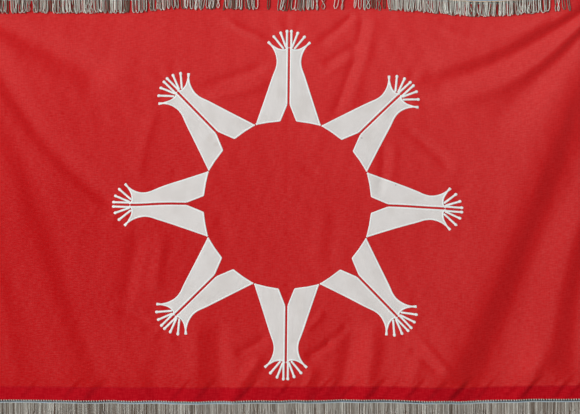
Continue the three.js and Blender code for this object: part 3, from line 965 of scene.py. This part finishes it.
# The back layer, at tone 0.12, is dark yarn standing as painted shade in the gaps of the fringe.
bottom_layers = [(0.0, 0.0060, 0.46, False), (0.0020, 0.0056, 0.30, False), (0.0038, 0.0048, 0.12, False)]
bottom_runs = fringe_loops(
    rng, bottom_layers, bottom_gaps, length=STRAND_LENGTH, top_z=bottom_z, root=[],
    fall_depth=HEADING_FRONT + 0.0002, worn=False, unevenness=0.22, clumping=0.0003, left_shade=0.1,
    spread=BOTTOM_TONE_SPREAD)
bottom_mesh = yarn_mesh("bottom_fringe_yarn", bottom_runs, BOTTOM_STRAND_RADIUS)
bottom_fringe = add_piece("bottom_fringe_yarn", bottom_mesh, yarn)
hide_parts("bottom_fringe")

# The layer at tone 0.04 lies behind the others: dark yarn standing as painted shade in the gaps between the
# lit loops.
top_layers = [(-0.0014, 0.0112, 0.80, False), (0.0008, 0.0125, 0.04, False), (-0.0030, 0.0120, 0.84, True)]
top_gaps = (0.0040, 0.0050, 0.0062, 0.0080, 0.0110)
top_runs = fringe_loops(
    rng, top_layers, top_gaps, length=STRAND_LENGTH - ROLL_TUCK, top_z=ROLL_EDGE, root=[(TOP_DEPTH, 0.0016)],
    fall_depth=TOP_DEPTH, worn=True, unevenness=0.35, clumping=0.0016, left_shade=0.38, spread=TOP_TONE_SPREAD)
top_mesh = yarn_mesh("top_fringe_yarn", top_runs, TOP_STRAND_RADIUS)
top_fringe = add_piece("top_fringe_yarn", top_mesh, yarn)
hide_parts("top_fringe")


CORD_STEPS = 600
CORD_RADIUS = 0.0013
CORD_DEPTH = -0.0056
CORD_RIB = 0.0003
TAN_CORD = (0.800, 0.560, 0.360)
WORN_CORD = (0.620, 0.430, 0.290)

cord_line = []
for step in range(CORD_STEPS + 1):
    along = -SIDE + CLOTH_WIDTH * step / CORD_STEPS
    cord_line.append((along, CORD_DEPTH - CORD_RIB * (step % 2), ROLL_EDGE + 0.0004))
cord_mesh = yarn_mesh("top_binding_cord", [(cord_line, [0.5] * len(cord_line))], CORD_RADIUS)
tan_cord = worn_thread("tan_binding_cord", 90, 0.4, TAN_CORD, WORN_CORD, 0.7)
binding = add_piece("top_binding_cord", cord_mesh, tan_cord)

# The hem stitching: small running stitches of red thread a little inside the turned edge of each hem, seen on
# the front and again on the back.
RUN_PITCH = 0.0034
RUN_LENGTH = 0.0021
RUN_RADIUS = 0.00028
RUN_INSET = 0.0025
FRONT_RUN_START = 0.1
BACK_RUN_START = 0.6
RED_THREAD = (0.470, 0.010, 0.014)
WORN_RED_THREAD = (0.340, 0.004, 0.008)


def hem_back(x, z):
    """The depth of the back of the hem's last layer, where the side and end hems cross and elsewhere."""
    at_side = abs(x) > SIDE - SIDE_HEM - 0.004
    at_end = z > TOP_HEM_LINE - 0.001 or z < BOTTOM_HEM_LINE + 0.001
    return HEM_LAYER_GAP * (3 if at_side and at_end else 1) + CLOTH_THICKNESS / 2


def running_stitches():
    """The stitches of each row, on both faces of the cloth. A row has a start and an end."""
    left, right = -SIDE + SIDE_HEM - RUN_INSET, SIDE - SIDE_HEM + RUN_INSET
    top, bottom = TOP_HEM_LINE + RUN_INSET, BOTTOM_HEM_LINE - RUN_INSET
    rows = [((-SIDE, top), (SIDE, top)), ((-SIDE, bottom), (SIDE, bottom))]
    rows += [((left, CLOTH_BOTTOM), (left, CLOTH_TOP)), ((right, CLOTH_BOTTOM), (right, CLOTH_TOP))]
    runs = []
    for start, end in rows:
        stitches = round(math.dist(start, end) / RUN_PITCH)
        for k in range(stitches):
            for face in (-1, 1):
                run = []
                offset = FRONT_RUN_START if face < 0 else BACK_RUN_START
                for share, out in ((0.0, -0.0001), (0.15, 0.0001), (0.85, 0.0001), (1.0, -0.0001)):
                    place = min((k + offset + share * RUN_LENGTH / RUN_PITCH) / stitches, 1)
                    x = start[0] + (end[0] - start[0]) * place
                    z = start[1] + (end[1] - start[1]) * place
                    surface_depth = -CLOTH_THICKNESS / 2 if face < 0 else hem_back(x, z)
                    run.append((x, surface_depth + face * out, z))
                runs.append((run, [0.5] * len(run)))
    return runs


red_thread = worn_thread("red_sewing_thread", 70, 0.35, RED_THREAD, WORN_RED_THREAD, 0.6)
hem_mesh = yarn_mesh("hem_running_stitches", running_stitches(), RUN_RADIUS, 0)
hem_thread = add_piece("hem_running_stitches", hem_mesh, red_thread)

# The setting: a plain pale floor below the flag, a soft key light high on the left, a weaker fill from the
# right, and a pale even room.
FLOOR_Z = -1.75
floor_shape = bmesh.new()
bmesh.ops.create_grid(floor_shape, x_segments=2, y_segments=2, size=15)
bmesh.ops.translate(floor_shape, vec=(0, 0, FLOOR_Z), verts=floor_shape.verts)
floor = bpy.data.objects.new("floor", mesh_from("floor", floor_shape))
scene.collection.objects.link(floor)
pale, _, _, pale_surface = material_named("pale_floor")
pale_surface.inputs["Base Color"].default_value = (0.62, 0.61, 0.59, 1)
pale_surface.inputs["Roughness"].default_value = 0.9
floor.data.materials.append(pale)


def soft_light(name, place, aim, size, power):
    data = bpy.data.lights.new(name, "AREA")
    data.shape = "DISK"
    data.size = size
    data.energy = power
    lamp = bpy.data.objects.new(name, data)
    lamp.location = place
    lamp.rotation_euler = (Vector(aim) - Vector(place)).to_track_quat("-Z", "Y").to_euler()
    scene.collection.objects.link(lamp)


soft_light("key", (-9.2, -10.1, 2.4), VIEW_CENTRE, 3.6, 1325)
soft_light("fill", (2.6, -4.8, 0.2), VIEW_CENTRE, 2.5, 25)
soft_light("back", (1.5, 3.5, 1.0), VIEW_CENTRE, 2.5, 70)

room = bpy.data.worlds.new("pale room")
scene.world = room
room.use_nodes = True
room.node_tree.nodes["Background"].inputs["Color"].default_value = (0.80, 0.82, 0.85, 1)
room.node_tree.nodes["Background"].inputs["Strength"].default_value = 0.295
scene.view_settings.view_transform = "Standard"
